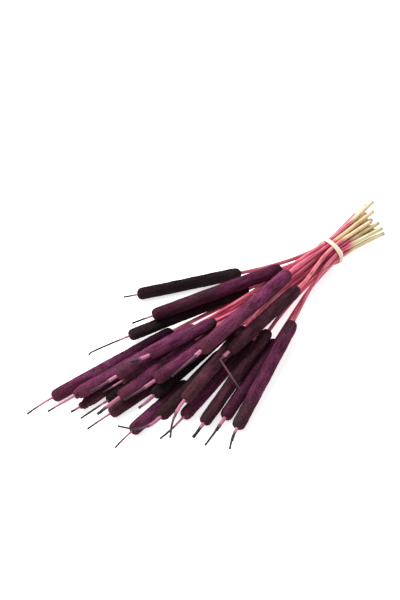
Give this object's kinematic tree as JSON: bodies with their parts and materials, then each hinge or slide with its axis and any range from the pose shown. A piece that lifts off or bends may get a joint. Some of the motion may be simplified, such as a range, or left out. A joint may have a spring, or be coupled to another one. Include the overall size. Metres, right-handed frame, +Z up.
{
  "type": "cattail bunch",
  "caption": "Bunch of dyed dried cattails lying down, with velvety heads on thin bare-tipped stems that fan out from one elastic band.",
  "frame": {"origin": "on the surface it lies on, below the middle of the bunch's box", "axes": "+X along the bunch from the heads to the cut ends, +Y to the left edge of the fan seen from above with the cut ends away, +Z up"},
  "size_m": [0.4876, 0.2316, 0.0642],
  "materials": {
    "stem_pink": "dried plant stem dyed rose pink, bare straw colour near the cut end and charcoal at the bare tip",
    "head_black": "velvety seed head dyed near black",
    "head_plum": "velvety seed head dyed plum",
    "head_violet": "velvety seed head dyed violet",
    "head_maroon": "velvety seed head dyed brownish maroon",
    "band_cream": "cream elastic band"
  },
  "bodies": {
    "root": {"stem_01": "stem_pink", "head_01": "head_violet", "stem_02": "stem_pink", "head_02": "head_maroon", "stem_03": "stem_pink", "head_03": "head_maroon", "stem_04": "stem_pink", "head_04": "head_violet", "stem_05": "stem_pink", "head_05": "head_violet", "stem_06": "stem_pink", "head_06": "head_black", "stem_07": "stem_pink", "head_07": "head_black", "stem_08": "stem_pink", "head_08": "head_plum", "stem_09": "stem_pink", "head_09": "head_plum", "stem_10": "stem_pink", "head_10": "head_black", "stem_11": "stem_pink", "head_11": "head_black", "stem_12": "stem_pink", "head_12": "head_maroon", "stem_13": "stem_pink", "head_13": "head_violet", "stem_14": "stem_pink", "head_14": "head_maroon", "stem_15": "stem_pink", "head_15": "head_maroon", "stem_16": "stem_pink", "head_16": "head_violet", "stem_17": "stem_pink", "head_17": "head_violet", "stem_18": "stem_pink", "head_18": "head_plum", "stem_19": "stem_pink", "head_19": "head_maroon", "stem_20": "stem_pink", "head_20": "head_plum", "stem_21": "stem_pink", "head_21": "head_plum", "stem_22": "stem_pink", "head_22": "head_plum", "stem_23": "stem_pink", "head_23": "head_maroon", "tie": "band_cream"}
  },
  "joints": []
}
